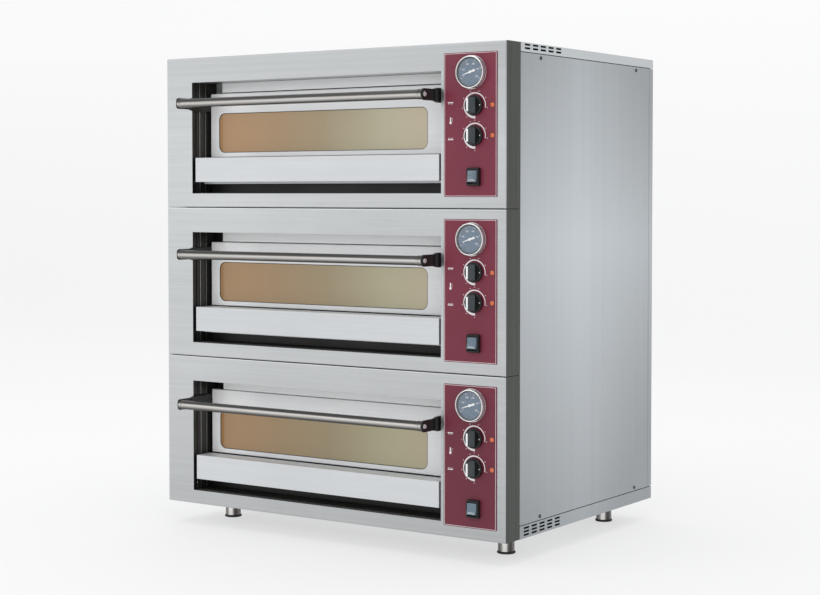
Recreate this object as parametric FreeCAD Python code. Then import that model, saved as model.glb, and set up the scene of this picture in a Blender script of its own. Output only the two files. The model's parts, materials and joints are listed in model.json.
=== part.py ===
"""Three-deck electric deck oven, in millimetres.

Three equal baking decks share one cabinet: two side panels, a roof, a base tray and a back panel.
Each deck has a folded front fascia with a door opening on the left and a coloured control plate on
the right. The door hangs on two pins at its bottom edge, carries a glazed window and a full-width bar
handle on two flat arms, and drops forward to lie level. Behind it is the baking chamber with refractory
slabs, tubular heating elements, a lamp and a steam outlet.

+X is to the right as one faces the oven, +Y goes from the front to the back, +Z is up. The origin is
on the floor, at the middle of the whole object's box.
"""
import FreeCAD, Part
import math
import os

Vector = FreeCAD.Vector
os.makedirs("parts", exist_ok=True)

# ---------------------------------------------------------------- driving dimensions
body_width = 900.0
body_depth = 650.0
deck_height = 336.0
deck_names = ["lower", "middle", "upper"]
foot_height = 49.0
handle_reach = 62.5          # handle ahead of the fascia
flue_reach = 35.0            # steam spigots behind the back panel

sheet = 1.5                  # folded stainless sheet
skin = 1.2                   # side, back and roof flange sheet
seam = 1.2                   # shadow gap between two fascias

# ---------------------------------------------------------------- derived places
half_width = body_width / 2
whole_depth = handle_reach + body_depth + flue_reach
front_y = -whole_depth / 2 + handle_reach
back_y = front_y + body_depth
body_low = foot_height
body_high = body_low + deck_height * len(deck_names)

# fascia
fascia_return = 55.0
fascia_lip = 18.0
corner_radius = 2.5
opening_left, opening_right = -375.0, 295.0
opening_low, opening_high = 31.0, 280.0
reveal_depth = 12.0
top_reveal_depth = 48.0

# control plate and what sits in it
plate_left, plate_right = 303.0, 429.0
plate_low, plate_high = 24.0, 315.0
plate_thick = 1.5
gauge_x, gauge_z = 370.0, 274.5
bezel_radius, bezel_reach = 33.0, 12.0
bezel_rim, neck_radius = 6.0, 31.0
flange_radius, flange_thick = 34.5, 2.0
dial_radius, dial_reach = 29.0, 6.5
gauge_body_radius, gauge_body_back = 28.0, 28.0
needle_rest = math.radians(198)      # down and left, where it stands when the chamber is cold
needle_tip, needle_tail = 20.0, 12.5
needle_hub, needle_pivot = 3.0, 1.0
knob_x = 376.5
knob_heights = {"top_heat": 208.0, "base_heat": 147.0}
knob_radius, knob_skirt, knob_reach = 20.5, 7.0, 29.0
grip_root, grip_ridge = 12.0, 4.6     # width across the finger grip
root_span, ridge_span = 34.0, 27.0    # its height at the skirt and at the ridge
spindle_radius, spindle_back = 3.0, 22.0
thermostat_width, thermostat_height = 48.0, 50.0
thermostat_front, thermostat_back = 6.0, 44.0     # behind the fascia
lamp_x = 418.5
lamp_radius, lamp_reach = 6.2, 3.6
lamp_tail, lamp_back = 4.3, 20.0
switch_x, switch_z = 376.5, 64.5
switch_frame_w, switch_frame_h, switch_reach = 29.0, 37.0, 10.0
switch_hole_w, switch_hole_h = 25.5, 31.0
rocker_w, rocker_h = 22.0, 24.0
rocker_axis = 3.0            # ahead of the plate's face
rocker_tilt = 7.0            # each way from level
rocker_pin, rocker_pin_end = 1.5, 2.0     # radius, and how far each end goes into the frame
switch_back = 24.0
rocker_clear = 0.4           # each side of the rocker
running = 0.06               # radial clearance of a pin or spindle that turns

# door
door_gap = 10.5
door_left, door_right = opening_left + door_gap, opening_right - door_gap
door_low, door_high = 112.5, 256.5
door_front = 52.0            # behind the fascia
door_skin_depth = 14.0
door_depth = 28.0
window_left, window_right = -340.0, 228.0
window_low, window_high = 123.0, 212.0
window_radius = 16.0
glass_thick, glass_set_back = 4.0, 3.0
hinge_back, hinge_up = 58.0, 119.0   # low enough to lie just above the sill's ledge when open
hinge_radius, hinge_block = 3.0, 20.0
liner_side_inset, liner_low, liner_high = 9.0, 117.0, 249.0

# handle: a bar between two flat arms that are fixed to the door's side edges
bar_radius = 9.8
collar_radius, collar_length = 10.5, 12.0
bar_forward, bar_up = 52.0, 231.0
arm_out, arm_thick = 5.0, 4.0        # outer face beyond the door's edge
arm_nose, arm_height = 60.0, 24.0
nose_radius = 7.0
root_out, root_height = 7.0, 30.0
root_forward, root_full = 17.0, 5.0  # where the arm starts to widen, and where it reaches its full height
root_back = 64.0
arm_screw_radius, arm_screw_reach = 5.5, 1.6

# sill, lintel and the dark surround of the opening
sill_left, sill_right = -367.0, 288.5
sill_low, sill_high = 57.0, 111.0
sill_front, sill_ledge = 2.0, 46.0
lintel_back = 50.0
lintel_low = 258.5
lintel_left_inset = 47.0     # its ends, inside the opening's edges
lintel_right_inset = 3.0
rib_places = [22.0, 42.0]    # ribs of the jambs, behind the fascia
rib_width, rib_reach = 1.6, 1.2
baffle_back, baffle_high = 64.0, 105.0
under_depth, hem_drop = 30.0, 4.5

# baking chamber
chamber_left, chamber_right = -350.0, 245.0
chamber_low, chamber_high = 88.0, 254.0
chamber_front, chamber_back = 83.0, 594.5
mouth_low, mouth_high = 131.0, 250.0
stone_low, stone_thick = 112.0, 18.0
element_radius = 4.0
element_levels = [98.0, 243.0]
element_columns = 3
element_half_gap, element_front_gap = 42.0, 40.0
chamber_lamp_back, chamber_lamp_up = 470.0, 190.0
chamber_lamp_radius = 22.0
flue_up, flue_radius, spigot_radius = 200.0, 25.0, 27.0
insulation_gap = 6.0         # clear of the decks above and below

# cabinet
roof_flange = 19.0
tray_flange = 27.0
back_flange = 18.0
vent_columns, vent_pitch, vent_start = 5, 32.0, 71.5
vent_length, vent_height = 21.5, 4.0
screw_back_positions = [137.0, 565.0]
screw_heights = [36.0, 980.0]
screw_head_radius, screw_head_reach = 4.2, 2.2
screw_shank_radius, screw_shank = 2.0, 8.0
panel_seam = 1.6             # shadow gap above and below the side and back panels
panel_low = body_low + tray_flange + panel_seam
panel_high = body_high - roof_flange - panel_seam
panel_fold_radius = 3.0
louvre_left, louvre_right = 330.0, 410.0
louvre_rows, louvre_pitch, louvre_height, louvre_up = 6, 14.0, 5.0, 120.0
gland_x, gland_z = 370.0, 100.0
gland_thread, gland_bore, gland_hexagon, gland_nut = 12.0, 7.0, 17.0, 13.5
gland_tail, gland_flange, gland_reach = 12.0, 10.0, 26.0

# feet and the cross rails that they screw into
foot_inset = 79.0
foot_front, foot_rear = 134.0, 568.0
sleeve_radius, pad_radius, pad_height, stem_radius = 17.5, 19.5, 5.0, 6.0
rail_width, rail_height, rail_inset = 60.0, 12.0, 40.0
foot_places = {
    "front_left": (foot_inset - half_width, foot_front),
    "front_right": (half_width - foot_inset, foot_front),
    "rear_left": (foot_inset - half_width, foot_rear),
    "rear_right": (half_width - foot_inset, foot_rear),
}


# ---------------------------------------------------------------- small helpers
def box(x0, x1, y0, y1, z0, z1):
    """A block between two corners."""
    return Part.makeBox(x1 - x0, y1 - y0, z1 - z0, Vector(x0, y0, z0))


def rod(x, y, z, radius, length, direction):
    """A cylinder from a point along a direction."""
    return Part.makeCylinder(radius, length, Vector(x, y, z), Vector(*direction))


def rod_back(x, y0, y1, z, radius):
    """A cylinder along +Y between two depths."""
    return rod(x, y0, z, radius, y1 - y0, (0, 1, 0))


def rod_up(x, y, z0, z1, radius):
    """A cylinder along +Z between two heights."""
    return rod(x, y, z0, radius, z1 - z0, (0, 0, 1))


def fuse(shapes):
    """One clean solid from several that touch."""
    whole = shapes[0]
    if len(shapes) > 1:
        whole = shapes[0].fuse(shapes[1:])
    return whole.removeSplitter()


def edges_where(shape, test):
    """The shape's straight edges whose two ends both pass a test."""
    return [e for e in shape.Edges if len(e.Vertexes) == 2 and all(test(v.Point) for v in e.Vertexes)]


def near(a, b):
    return abs(a - b) < 1e-6


def rounded_slab(x0, x1, y0, y1, z0, z1, radius):
    """A block whose four edges along Y are rounded."""
    block = box(x0, x1, y0, y1, z0, z1)
    along_y = [e for e in block.Edges if near(e.Vertexes[0].X, e.Vertexes[1].X)
               and near(e.Vertexes[0].Z, e.Vertexes[1].Z)]
    return block.makeFillet(radius, along_y)


def revolve_y(profile, x, z):
    """A solid of revolution about the Y axis through (x, z), from (radius, y) points."""
    points = [Vector(x + r, y, z) for r, y in profile]
    face = Part.Face(Part.makePolygon(points + [points[0]]))
    return face.revolve(Vector(x, 0, z), Vector(0, 1, 0), 360)


def save(name, shapes):
    """Writes one node from one solid or a group of separate solids."""
    solids = [s for shape in shapes for s in shape.Solids]
    shape = solids[0] if len(solids) == 1 else Part.makeCompound(solids)
    for solid in solids:
        if not solid.isValid() or solid.Volume <= 0:
            print("bad solid in", name)
    shape.exportStep("parts/" + name + ".step")
    print(f"{name:28s} solids {len(solids):3d}  volume {sum(s.Volume for s in solids) / 1000:10.1f} cm3")


def deck_floor(deck):
    """The height of a deck's bottom."""
    return body_low + deck_height * deck


# ---------------------------------------------------------------- fascia and control plate
def control_holes(z0, y0, y1):
    """Cutters for the dial, spindles, lamps and switch, between two depths."""
    cutters = [rod_back(gauge_x, y0, y1, z0 + gauge_z, gauge_body_radius + 0.5)]
    for height in knob_heights.values():
        cutters.append(rod_back(knob_x, y0, y1, z0 + height, spindle_radius + 3))
        cutters.append(rod_back(lamp_x, y0, y1, z0 + height, lamp_tail + 0.2))
    cutters.append(box(switch_x - switch_hole_w / 2, switch_x + switch_hole_w / 2, y0, y1,
                       z0 + switch_z - switch_hole_h / 2, z0 + switch_z + switch_hole_h / 2))
    return cutters


def make_fascia(z0):
    """Folded front frame: face, side returns, top and bottom lips and the opening's returns."""
    low, high = z0 + seam / 2, z0 + deck_height - seam / 2
    back = front_y + fascia_return
    outer = box(-half_width, half_width, front_y, back, low, high)
    rim = edges_where(outer, lambda p: near(p.y, front_y))
    outer = outer.makeFillet(corner_radius, rim)
    inner = box(-half_width + sheet, half_width - sheet, front_y + sheet, back + 1, low + sheet, high - sheet)
    inner_rim = edges_where(inner, lambda p: near(p.y, front_y + sheet))
    inner = inner.makeFillet(corner_radius - sheet, inner_rim)
    lips = box(-half_width + sheet, half_width - sheet, front_y + fascia_lip, back + 1, low - 1, high + 1)
    face = outer.cut([inner, lips])
    reveal = box(opening_left - sheet, opening_right + sheet, front_y + sheet, front_y + reveal_depth,
                 z0 + opening_low - sheet, z0 + opening_high + sheet)
    top_reveal = box(opening_left - sheet, opening_right + sheet, front_y + sheet, front_y + top_reveal_depth,
                     z0 + opening_high, z0 + opening_high + sheet)
    opening = box(opening_left, opening_right, front_y - 5, front_y + top_reveal_depth + 5,
                  z0 + opening_low, z0 + opening_high)
    return fuse([face, reveal, top_reveal]).cut([opening] + control_holes(z0, front_y - 1, front_y + 3))


def make_control_plate(z0):
    """Flat coloured plate that lies on the fascia and holds the dial, knobs, lamps and switch."""
    front = front_y - plate_thick
    plate = rounded_slab(plate_left, plate_right, front, front_y, z0 + plate_low, z0 + plate_high, 2.0)
    return plate.cut(control_holes(z0, front - 1, front_y + 1))


# ---------------------------------------------------------------- instruments
def make_gauge_case(z0):
    """Round thermometer case: rim, neck, flange, sunk dial and rear body, holed for the needle's pivot."""
    plate = front_y - plate_thick
    front = plate - bezel_reach
    dial = plate - dial_reach
    rim_back = front + bezel_rim
    profile = [(0, dial), (dial_radius, dial), (dial_radius, front), (bezel_radius - 1.5, front),
               (bezel_radius, front + 1.5), (bezel_radius, rim_back), (neck_radius, rim_back),
               (neck_radius, plate - flange_thick), (flange_radius, plate - flange_thick),
               (flange_radius, plate), (gauge_body_radius, plate),
               (gauge_body_radius, front_y + gauge_body_back), (0, front_y + gauge_body_back)]
    pivot = rod_back(gauge_x, dial - 1, dial + 3, z0 + gauge_z, needle_pivot + running)
    return revolve_y(profile, gauge_x, z0 + gauge_z).cut(pivot)


def make_gauge_lens(z0):
    """Flat glass disc inside the bezel."""
    front = front_y - plate_thick - bezel_reach
    return rod_back(gauge_x, front + 0.5, front + 1.7, z0 + gauge_z, dial_radius)


def make_needle(z0):
    """Tapered pointer on a hub and pivot, pointing down and left when the chamber is cold."""
    dial = front_y - plate_thick - dial_reach
    y0, y1 = dial - 2.0, dial - 1.4
    along = Vector(math.cos(needle_rest), 0, math.sin(needle_rest))
    across = Vector(-along.z, 0, along.x)
    centre = Vector(gauge_x, y0, z0 + gauge_z)
    outline = [centre + along * needle_tip + across * 0.35, centre + across * 1.5,
               centre - along * needle_tail + across * 2.6, centre - along * needle_tail - across * 2.6,
               centre - across * 1.5, centre + along * needle_tip - across * 0.35]
    blade = Part.Face(Part.makePolygon(outline + [outline[0]])).extrude(Vector(0, y1 - y0, 0))
    hub = rod_back(gauge_x, dial - 2.6, dial - 0.9, z0 + gauge_z, needle_hub)
    pivot = rod_back(gauge_x, dial - 1.0, dial + 2.6, z0 + gauge_z, needle_pivot)
    return fuse([blade, hub, pivot])


def make_knob(z0, height):
    """Round skirt with a finger grip that tapers to a narrow ridge, on the thermostat's spindle."""
    plate = front_y - plate_thick
    y_skirt, y_front = plate - 1.0 - knob_skirt, plate - knob_reach
    z = z0 + height
    profile = [(0, plate - 1), (knob_radius, plate - 1), (knob_radius, y_skirt + 2.0),
               (knob_radius - 2.0, y_skirt), (0, y_skirt)]
    skirt = revolve_y(profile, knob_x, z)
    y_root = y_skirt + 1
    clear = 30.0                 # past the grip on every side
    left, low = knob_x - clear, z - clear
    plan = [Vector(knob_x - grip_root / 2, y_root, low), Vector(knob_x - grip_ridge / 2, y_front, low),
            Vector(knob_x + grip_ridge / 2, y_front, low), Vector(knob_x + grip_root / 2, y_root, low)]
    elevation = [Vector(left, y_root, z - root_span / 2), Vector(left, y_front, z - ridge_span / 2),
                 Vector(left, y_front, z + ridge_span / 2), Vector(left, y_root, z + root_span / 2)]
    grip = Part.Face(Part.makePolygon(plan + [plan[0]])).extrude(Vector(0, 0, 2 * clear))
    tapered = Part.Face(Part.makePolygon(elevation + [elevation[0]])).extrude(Vector(2 * clear, 0, 0))
    spindle = rod_back(knob_x, plate - 2, front_y + spindle_back, z, spindle_radius)
    return fuse([skirt, grip.common(tapered), spindle])


def make_thermostat(z0, height):
    """Thermostat block behind the fascia, with the bush that the spindle turns in."""
    z = z0 + height
    block = box(knob_x - thermostat_width / 2, knob_x + thermostat_width / 2, front_y + thermostat_front,
                front_y + thermostat_back, z - thermostat_height / 2, z + thermostat_height / 2)
    bush = rod_back(knob_x, front_y + sheet, front_y + thermostat_front, z, 8)
    bore = rod_back(knob_x, front_y, front_y + spindle_back + 2, z, spindle_radius + running)
    return fuse([block, bush]).cut(bore)


def make_lamp(z0, height):
    """Domed indicator lens with its tail through the plate."""
    plate = front_y - plate_thick
    z = z0 + height
    crown, back = plate - lamp_reach, front_y + lamp_back
    profile = [(0, crown), (2.6, crown + 0.4), (4.6, crown + 1.5), (lamp_radius, plate),
               (lamp_tail, plate), (lamp_tail, back), (0, back)]
    return revolve_y(profile, lamp_x, z)


def make_switch_frame(z0):
    """Raised rectangular frame round the rocker, with its body behind the plate."""
    plate = front_y - plate_thick
    z = z0 + switch_z
    front = plate - switch_reach
    frame = rounded_slab(switch_x - switch_frame_w / 2, switch_x + switch_frame_w / 2, front, plate,
                         z - switch_frame_h / 2, z + switch_frame_h / 2, 2.5)
    half_w, half_h = switch_hole_w / 2 - 0.2, switch_hole_h / 2 - 0.2
    body = box(switch_x - half_w, switch_x + half_w, plate, front_y + switch_back, z - half_h, z + half_h)
    half_w, half_h = rocker_w / 2 + rocker_clear, rocker_h / 2 + 1.8
    well = box(switch_x - half_w, switch_x + half_w, front - 1, front_y + 10, z - half_h, z + half_h)
    bore_length = rocker_w + 2 * (rocker_clear + rocker_pin_end + 0.2)
    bore_left = switch_x - bore_length / 2
    bore = rod(bore_left, plate - rocker_axis, z, rocker_pin + running, bore_length, (1, 0, 0))
    return fuse([frame, body]).cut([well, bore])


def make_rocker(z0):
    """Shallow V-shaped rocker on two pivot pins, resting with its top half pressed in."""
    plate = front_y - plate_thick
    z = z0 + switch_z
    tip = rocker_h / 2
    outline = [(plate + 4, -5), (plate - 8.5, -tip), (plate - 12, -tip + 0.4), (plate - 11, 0),
               (plate - 12, tip - 0.4), (plate - 8.5, tip), (plate + 4, 5)]
    points = [Vector(switch_x - rocker_w / 2, y, z + dz) for y, dz in outline]
    rocker = Part.Face(Part.makePolygon(points + [points[0]])).extrude(Vector(rocker_w, 0, 0))
    pin_length = rocker_w + 2 * (rocker_clear + rocker_pin_end)
    pin = rod(switch_x - pin_length / 2, plate - rocker_axis, z, rocker_pin, pin_length, (1, 0, 0))
    rocker = fuse([rocker, pin])
    rocker.rotate(Vector(switch_x, plate - rocker_axis, z), Vector(1, 0, 0), -rocker_tilt)
    return rocker


# ---------------------------------------------------------------- door
def window_block(margin, y0, y1, z0):
    """A rounded block over the door's window, grown by a margin."""
    return rounded_slab(window_left - margin, window_right + margin, y0, y1,
                        z0 + window_low - margin, z0 + window_high + margin, window_radius + margin)


def hinge_bores(z0, radius):
    """Cutters for the two hinge pins in the door's lower corners."""
    y, z = front_y + hinge_back, z0 + hinge_up
    return [rod(door_left - 1, y, z, radius, hinge_block, (1, 0, 0)),
            rod(door_right + 1, y, z, radius, hinge_block, (-1, 0, 0))]


def make_door_panel(z0):
    """Outer door skin: a shallow folded pan with a rounded window and two hinge blocks inside."""
    y0 = front_y + door_front
    y1 = y0 + door_skin_depth
    low, high = z0 + door_low, z0 + door_high
    outer = box(door_left, door_right, y0, y1, low, high)
    outer = outer.makeFillet(2.0, edges_where(outer, lambda p: near(p.y, y0)))
    inner = box(door_left + sheet, door_right - sheet, y0 + sheet, y1 + 1, low + sheet, high - sheet)
    pan = outer.cut(inner)
    blocks = [box(x, x + hinge_block - sheet, y0 + sheet, y1, low + sheet, low + 14)
              for x in (door_left + sheet, door_right - hinge_block)]
    cutters = hinge_bores(z0, hinge_radius + running)
    cutters.append(window_block(0, y0 - 1, y0 + 3, z0))
    return fuse([pan] + blocks).cut(cutters)


def make_door_glass(z0):
    """Outer and inner panes, the inner one let into the door's liner."""
    y0 = front_y + door_front + sheet
    y1 = front_y + door_front + door_depth - glass_set_back
    return [window_block(6, y0, y0 + glass_thick, z0).common(
                box(-half_width, half_width, y0, y0 + glass_thick, z0 + door_low + sheet, z0 + door_high)),
            window_block(4, y1 - glass_thick, y1, z0)]


def make_door_liner(z0):
    """Inner half of the door, set in from the skin, with a rebate for the inner pane."""
    y0 = front_y + door_front + door_skin_depth
    y1 = front_y + door_front + door_depth
    liner = box(door_left + liner_side_inset, door_right - liner_side_inset, y0, y1,
                z0 + liner_low, z0 + liner_high)
    rebate = window_block(4, y1 - glass_set_back - glass_thick, y1 - glass_set_back, z0)
    return liner.cut([window_block(-1, y0 - 1, y1 + 1, z0), rebate])


def make_handle_bar(z0):
    """Straight round bar with a collar at each end, between the two arms."""
    y, z = front_y - bar_forward, z0 + bar_up
    inset = arm_thick - arm_out
    left, right = door_left + inset, door_right - inset
    bar = rod(left, y, z, bar_radius, right - left, (1, 0, 0))
    collars = [rod(x, y, z, collar_radius, collar_length, (1, 0, 0)) for x in (left, right - collar_length)]
    return [fuse([bar] + collars)]


def arm_outline(x, z):
    """A flat arm's shape as seen from the side: a straight plate that widens to its root."""
    half, root_half = arm_height / 2, root_height / 2
    upper = [(-arm_nose, half), (-root_forward, half), (-root_full, root_half), (root_back, root_half)]
    outline = upper + [(y, -up) for y, up in reversed(upper)]
    return [Vector(x, front_y + y, z + up) for y, up in outline]


def make_handle_arms(z0):
    """Two flat arms on the door's side edges, thicker at the root, each with the bar's end screw."""
    solids = []
    z = z0 + bar_up
    for edge, outward in ((door_left, -1), (door_right, 1)):
        points = arm_outline(edge + outward * arm_out, z)
        arm = Part.Face(Part.makePolygon(points + [points[0]])).extrude(Vector(-outward * arm_thick, 0, 0))
        nose = [e for e in arm.Edges if all(near(v.Y, front_y - arm_nose) for v in e.Vertexes)
                and near(e.Vertexes[0].Z, e.Vertexes[1].Z)]
        arm = arm.makeFillet(nose_radius, nose)
        points = arm_outline(edge + outward * root_out, z)
        root = Part.Face(Part.makePolygon(points + [points[0]])).extrude(Vector(-outward * root_out, 0, 0))
        behind = box(door_left - 50, door_right + 50, front_y - root_forward, front_y + root_back + 1,
                     z - 50, z + 50)
        solids.append(fuse([arm, root.common(behind)]))
        solids.append(rod(edge + outward * arm_out, front_y - bar_forward, z,
                          arm_screw_radius, arm_screw_reach, (outward, 0, 0)))
    return solids


# ---------------------------------------------------------------- opening's surround and sill
def make_surround(z0):
    """Dark ribbed side jambs, the hinge pins on them, and the dark floor and baffle behind the sill."""
    solids = []
    y0, y1 = front_y + reveal_depth + 1, front_y + chamber_front - 0.5
    for edge, inward in ((opening_left, 1), (opening_right, -1)):
        face = edge + inward * sheet
        xs = sorted([edge, face])
        jamb = box(xs[0], xs[1], y0, y1, z0 + opening_low, z0 + opening_high - 0.5)
        xs = sorted([face, face + inward * rib_reach])
        ribs = [box(xs[0], xs[1], front_y + back, front_y + back + rib_width,
                    z0 + opening_low, z0 + opening_high - 0.5) for back in rib_places]
        solids.append(fuse([jamb] + ribs))
        pin_y, pin_z = front_y + hinge_back, z0 + hinge_up
        pin_length = door_gap - sheet + hinge_block - 4
        solids.append(rod(face, pin_y, pin_z, hinge_radius, pin_length, (inward, 0, 0)))
    low = z0 + opening_low
    back = front_y + baffle_back
    left, right = opening_left + sheet + rib_reach + 0.3, opening_right - sheet - rib_reach - 0.3
    baffle = box(left, right, back, back + sheet, low + sheet, z0 + baffle_high)
    shelf = box(left, right, front_y + reveal_depth + 1, back + sheet, low, low + sheet)
    return solids + [baffle, shelf]


def make_sill(z0):
    """Folded strip below the door: face, deep top ledge, end returns and a turned-down lower hem."""
    y0 = front_y + sill_front
    low, high = z0 + sill_low, z0 + sill_high
    face = box(sill_left, sill_right, y0, y0 + sheet, low, high)
    ledge = box(sill_left, sill_right, y0 + sheet, y0 + sill_ledge, high - sheet, high)
    under = box(sill_left, sill_right, y0 + sheet, y0 + under_depth, low, low + sheet)
    hem = box(sill_left, sill_right, y0 + under_depth, y0 + under_depth + sheet, low - hem_drop, low + sheet)
    ends = [box(x, x + sheet, y0 + sheet, y0 + 20, low + sheet, high - sheet)
            for x in (sill_left, sill_right - sheet)]
    return fuse([face, ledge, under, hem] + ends)


# ---------------------------------------------------------------- baking chamber
def make_chamber(z0):
    """Chamber walls, front frame with the lintel above the door, and the ledges under the slabs."""
    front, back = front_y + chamber_front, front_y + chamber_back
    low, high = z0 + chamber_low, z0 + chamber_high
    left, right = chamber_left, chamber_right
    flue = rod_back((left + right) / 2, back - 1, back + sheet + 1, z0 + flue_up, flue_radius - sheet)
    walls = [
        box(left - sheet, right + sheet, front + sheet, back + sheet, low - sheet, low),
        box(left - sheet, right + sheet, front + sheet, back + sheet, high, high + sheet),
        box(left - sheet, left, front + sheet, back + sheet, low, high),
        box(right, right + sheet, front + sheet, back + sheet, low, high),
        box(left, right, back, back + sheet, low, high).cut(flue),
    ]
    frame_left, frame_right = opening_left + 1, opening_right - 1
    frame = [
        box(frame_left, frame_right, front, front + sheet, z0 + 60, z0 + mouth_low),
        box(frame_left, frame_right, front, front + sheet, z0 + mouth_high, z0 + opening_high + 2),
        box(frame_left, left + 2, front, front + sheet, z0 + mouth_low, z0 + mouth_high),
        box(right - 2, frame_right, front, front + sheet, z0 + mouth_low, z0 + mouth_high),
    ]
    lintel_y = front_y + lintel_back
    lintel_left, lintel_right = opening_left + lintel_left_inset, opening_right - lintel_right_inset
    lintel = fuse([
        box(lintel_left, lintel_right, lintel_y, lintel_y + sheet,
            z0 + lintel_low, z0 + opening_high - 0.5),
        box(lintel_left, lintel_right, lintel_y, front,
            z0 + lintel_low, z0 + lintel_low + sheet),
    ])
    ledge_z0, ledge_z1 = z0 + stone_low - 3, z0 + stone_low
    middle = (left + right) / 2
    ledges = [box(x0, x1, front + 6, back - 4, ledge_z0, ledge_z1)
              for x0, x1 in ((left, left + 12), (middle - 8, middle + 8), (right - 12, right))]
    return walls + frame + [lintel] + ledges


def make_stones(z0):
    """Two refractory slabs side by side on the ledges."""
    middle = (chamber_left + chamber_right) / 2
    y0, y1 = front_y + chamber_front + 5, front_y + chamber_back - 4
    z1 = z0 + stone_low + stone_thick
    return [box(chamber_left + 1.5, middle - 1, y0, y1, z0 + stone_low, z1),
            box(middle + 1, chamber_right - 1.5, y0, y1, z0 + stone_low, z1)]


def make_hairpin(x, z, half_gap):
    """One U-shaped tubular element, its two ends at the chamber's back wall."""
    y_end = front_y + chamber_back
    y_turn = front_y + chamber_front + element_front_gap + half_gap
    legs = [rod_back(x + side * half_gap, y_turn, y_end, z, element_radius) for side in (-1, 1)]
    bend = Part.makeTorus(half_gap, element_radius, Vector(x, y_turn, z), Vector(0, 0, 1))
    front_half = box(x - 200, x + 200, y_turn - 200, y_turn, z - 20, z + 20)
    return fuse(legs + [bend.common(front_half)])


def make_elements(z0):
    """Three hairpins under the slabs and three under the ceiling."""
    pitch = (chamber_right - chamber_left) / element_columns
    return [make_hairpin(chamber_left + pitch * (column + 0.5), z0 + level, element_half_gap)
            for level in element_levels for column in range(element_columns)]


def make_chamber_lamp(z0):
    """Round lamp glass on the chamber's right wall."""
    y, z = front_y + chamber_lamp_back, z0 + chamber_lamp_up
    base = rod(chamber_right, y, z, chamber_lamp_radius, 4, (-1, 0, 0))
    dome = Part.makeSphere(18, Vector(chamber_right - 1, y, z))
    dome = dome.common(box(chamber_right - 12, chamber_right - 3, y - 30, y + 30, z - 30, z + 30))
    return fuse([base, dome])


def make_flue(z0):
    """Steam tube from the chamber's back wall to a spigot outside the back panel."""
    x = (chamber_left + chamber_right) / 2
    y0 = front_y + chamber_back + sheet
    tube = rod_back(x, y0, back_y, z0 + flue_up, flue_radius)
    spigot = rod_back(x, back_y, back_y + flue_reach, z0 + flue_up, spigot_radius)
    bore = rod_back(x, y0 - 1, back_y + flue_reach + 1, z0 + flue_up, flue_radius - sheet)
    return fuse([tube, spigot]).cut(bore)


def make_insulation(z0):
    """Mineral wool packed round the chamber, open at the front and bored for the steam tube."""
    x = (chamber_left + chamber_right) / 2
    block = box(-half_width + 12, opening_right - 4, front_y + 96, back_y - 4,
                z0 + insulation_gap, z0 + deck_height - insulation_gap)
    hollow = box(chamber_left - sheet, chamber_right + sheet, front_y + 90, front_y + chamber_back + sheet,
                 z0 + chamber_low - sheet, z0 + chamber_high + sheet)
    tube = rod_back(x, front_y + chamber_back, back_y, z0 + flue_up, flue_radius)
    return block.cut([hollow, tube])


# ---------------------------------------------------------------- cabinet
def vent_slots(rows, first_z, row_pitch):
    """Cutters for a block of ventilation slots through both side flanges."""
    cutters = []
    for column in range(vent_columns):
        y0 = front_y + vent_start + column * vent_pitch
        for row in range(rows):
            z = first_z + row * row_pitch
            for x in (-half_width - 2, half_width - 4):
                cutters.append(box(x, x + 6, y0, y0 + vent_length, z - vent_height / 2, z + vent_height / 2))
    return cutters


def make_roof():
    """Top cover with side and rear flanges and two rows of vents near the front."""
    y_sides = front_y + fascia_return + 0.5
    y_tongue = front_y + fascia_lip + 1
    low = body_high - roof_flange
    top = [box(-half_width, half_width, y_sides, back_y, body_high - sheet, body_high),
           box(-half_width + 3, half_width - 3, y_tongue, y_sides, body_high - sheet, body_high)]
    flanges = [box(-half_width, -half_width + skin, y_sides, back_y, low, body_high - sheet),
               box(half_width - skin, half_width, y_sides, back_y, low, body_high - sheet),
               box(-half_width + skin, half_width - skin, back_y - skin, back_y, low, body_high - sheet)]
    return fuse(top + flanges).cut(vent_slots(2, body_high - 11.6, 7.2))


def make_tray():
    """Bottom tray with side and rear flanges and three rows of vents near the front."""
    y_sides = front_y + fascia_return + 0.5
    y_tongue = front_y + fascia_lip + 1
    high = body_low + tray_flange
    floor = [box(-half_width, half_width, y_sides, back_y, body_low, body_low + sheet),
             box(-half_width + 3, half_width - 3, y_tongue, y_sides, body_low, body_low + sheet)]
    flanges = [box(-half_width, -half_width + skin, y_sides, back_y, body_low + sheet, high),
               box(half_width - skin, half_width, y_sides, back_y, body_low + sheet, high),
               box(-half_width + skin, half_width - skin, back_y - skin, back_y, body_low + sheet, high)]
    return fuse(floor + flanges).cut(vent_slots(3, body_low + 6.8, 7.1))


def make_side_panel(side):
    """Tall flat side panel with a rounded fold along its front edge, drilled for four screws."""
    y0, y1 = front_y + fascia_return + 1.5, back_y - back_flange - 0.8
    outer = side * half_width
    xs = sorted([outer, outer - side * 12])
    block = box(xs[0], xs[1], y0, y1, panel_low, panel_high)
    outer_edge = edges_where(block, lambda p: near(p.x, outer) and near(p.y, y0))
    block = block.makeFillet(panel_fold_radius, outer_edge)
    xs = sorted([outer - side * skin, outer - side * 20])
    hollow = box(xs[0], xs[1], y0 + skin, y1 + 1, panel_low - 1, panel_high + 1)
    inner_edge = edges_where(hollow, lambda p: near(p.x, outer - side * skin) and near(p.y, y0 + skin))
    hollow = hollow.makeFillet(panel_fold_radius - skin, inner_edge)
    holes = [rod(outer + side, front_y + back, body_low + height, screw_shank_radius + 0.3, 6, (-side, 0, 0))
             for back in screw_back_positions for height in screw_heights]
    return block.cut([hollow] + holes)


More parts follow.
